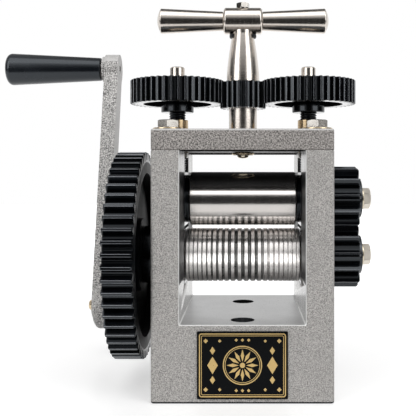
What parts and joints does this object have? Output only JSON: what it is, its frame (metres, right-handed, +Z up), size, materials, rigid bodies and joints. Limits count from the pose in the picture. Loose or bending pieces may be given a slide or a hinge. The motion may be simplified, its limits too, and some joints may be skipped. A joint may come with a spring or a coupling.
{
  "type": "jewellers rolling mill",
  "caption": "Bench rolling mill with a plain upper roll, a grooved lower roll, a geared hand crank and a T-handle that sets both screws.",
  "frame": {"origin": "centre of the frame's underside", "axes": "+X to the operator's right along the rolls, +Y away from the operator, +Z up"},
  "size_m": [0.3025, 0.2166, 0.2712],
  "materials": {
    "cast_paint": "warm grey hammered paint over a cast surface",
    "black_oxide": "black oxide with a dull sheen",
    "roll_steel": "ground and polished",
    "nickel": "polished nickel",
    "plated_steel": "bright plating with a faint yellow tint",
    "brass": "turned brass",
    "bronze": "oiled bearing bronze",
    "spring_steel": "oiled wire",
    "black_rubber": "satin",
    "grip_plastic": "satin black moulding",
    "label_plate": "gloss black with a plain gold ornament"
  },
  "bodies": {
    "frame": {"frame_casting": "cast_paint", "top_plate": "cast_paint", "plate_bolt_front_left": "plated_steel", "plate_bolt_front_right": "plated_steel", "plate_bolt_rear_left": "plated_steel", "plate_bolt_rear_right": "plated_steel", "plate_washer_front_left": "plated_steel", "plate_washer_front_right": "plated_steel", "plate_washer_rear_left": "plated_steel", "plate_washer_rear_right": "plated_steel", "left_thread_bush": "brass", "right_thread_bush": "brass", "lower_left_block": "black_oxide", "lower_right_block": "black_oxide", "lower_left_bush": "bronze", "lower_right_bush": "bronze", "left_lift_spring": "spring_steel", "right_lift_spring": "spring_steel", "crank_bush": "bronze", "label_plate": "label_plate"},
    "lower_roll": {"lower_roller": "roll_steel", "drive_gear": "black_oxide", "drive_gear_key": "roll_steel", "drive_gear_washer": "plated_steel", "drive_gear_bolt": "plated_steel", "lower_sync_gear": "black_oxide", "lower_sync_key": "roll_steel", "lower_sync_washer": "plated_steel", "lower_sync_bolt": "plated_steel"},
    "upper_blocks": {"upper_left_block": "black_oxide", "upper_right_block": "black_oxide", "upper_left_bush": "bronze", "upper_right_bush": "bronze"},
    "upper_roll": {"upper_roller": "roll_steel", "upper_sync_gear": "black_oxide", "upper_sync_key": "roll_steel", "upper_sync_washer": "plated_steel", "upper_sync_bolt": "plated_steel"},
    "left_screw": {"left_adjusting_screw": "black_oxide", "left_screw_gear": "black_oxide", "left_gear_stud": "nickel"},
    "right_screw": {"right_adjusting_screw": "black_oxide", "right_screw_gear": "black_oxide", "right_gear_stud": "nickel"},
    "t_handle": {"handle_stem": "nickel", "centre_pinion": "black_oxide", "handle_hub": "nickel", "left_handle_bar": "nickel", "right_handle_bar": "nickel", "hub_screw": "nickel", "hub_ring": "black_rubber", "retainer_washer": "plated_steel", "retainer_screw": "plated_steel"},
    "crank": {"crank_shaft": "roll_steel", "crank_key": "roll_steel", "crank_pinion": "black_oxide", "crank_arm": "cast_paint", "crank_bolt": "plated_steel", "grip_spindle": "nickel"},
    "grip": {"crank_grip": "grip_plastic"}
  },
  "joints": [
    {"name": "lower_roll_turn", "type": "hinge", "parent": "frame", "child": "lower_roll", "pos_m": [0, 0, 0.0899], "axis": [1, 0, 0], "continuous": true},
    {"name": "crank_turn", "type": "hinge", "parent": "frame", "child": "crank", "pos_m": [-0.08, 0.0737, 0.04019], "axis": [1, 0, 0], "continuous": true},
    {"name": "grip_spin", "type": "hinge", "parent": "crank", "child": "grip", "pos_m": [-0.16, 0.12882, 0.24168], "axis": [1, 0, 0], "continuous": true},
    {"name": "handle_turn", "type": "hinge", "parent": "frame", "child": "t_handle", "pos_m": [0, 0, 0.2], "axis": [0, 0, 1], "range_deg": [-2212, 664]},
    {"name": "blocks_lift", "type": "slide", "parent": "frame", "child": "upper_blocks", "axis": [0, 0, 1], "range_m": [-0.0015, 0.005], "deforming": ["left_lift_spring", "right_lift_spring"]},
    {"name": "upper_roll_turn", "type": "hinge", "parent": "upper_blocks", "child": "upper_roll", "pos_m": [0, 0, 0.1301], "axis": [1, 0, 0], "continuous": true},
    {"name": "left_screw_turn", "type": "hinge", "parent": "upper_blocks", "child": "left_screw", "pos_m": [-0.04725, 0, 0.2], "axis": [0, 0, 1], "range_deg": [-309, 1029]},
    {"name": "right_screw_turn", "type": "hinge", "parent": "upper_blocks", "child": "right_screw", "pos_m": [0.04725, 0, 0.2], "axis": [0, 0, 1], "range_deg": [-309, 1029]}
  ],
  "couplings": [
    {"joint": "upper_roll_turn", "follows": "lower_roll_turn", "ratio": -1},
    {"joint": "crank_turn", "follows": "lower_roll_turn", "ratio": -4},
    {"joint": "handle_turn", "follows": "blocks_lift", "rad_per_m": -7719.3},
    {"joint": "left_screw_turn", "follows": "blocks_lift", "rad_per_m": 3590.4},
    {"joint": "right_screw_turn", "follows": "blocks_lift", "rad_per_m": 3590.4}
  ]
}
